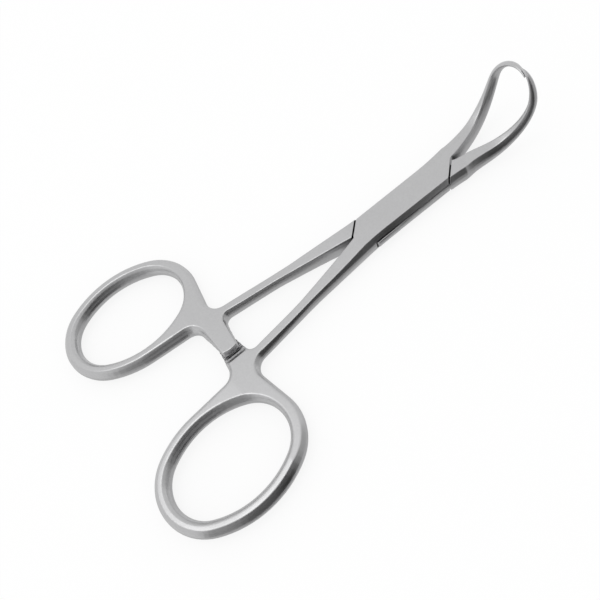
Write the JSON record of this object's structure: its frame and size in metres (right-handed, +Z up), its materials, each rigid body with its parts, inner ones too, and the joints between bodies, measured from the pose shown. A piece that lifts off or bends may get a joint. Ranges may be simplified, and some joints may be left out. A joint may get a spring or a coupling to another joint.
{
  "type": "towel clamp",
  "caption": "Ring-handled towel clamp with a box lock, a ratchet between the handles and upturned curved jaws that cross in sharp points to pin drape cloth.",
  "frame": {"origin": "on the pin's axis, at the underside of the box lock", "axes": "+X runs towards the jaws' points, +Z up out of the lock's upper face and the way the jaws bend, +Y towards the ring of the half that carries the upper ratchet bar"},
  "size_m": [0.1115, 0.0666, 0.0173],
  "materials": {
    "satin_steel": "satin stainless steel",
    "pin_steel": "satin stainless steel, ground flush"
  },
  "bodies": {
    "slotted_half": {"female_half": "satin_steel", "pivot_pin": "pin_steel"},
    "tongue_half": {"male_half": "satin_steel"}
  },
  "joints": [
    {"name": "box_lock", "type": "hinge", "parent": "slotted_half", "child": "tongue_half", "pos_m": [0, 0, 0.00235], "axis": [0, 0, -1], "range_deg": [0, 60]}
  ]
}
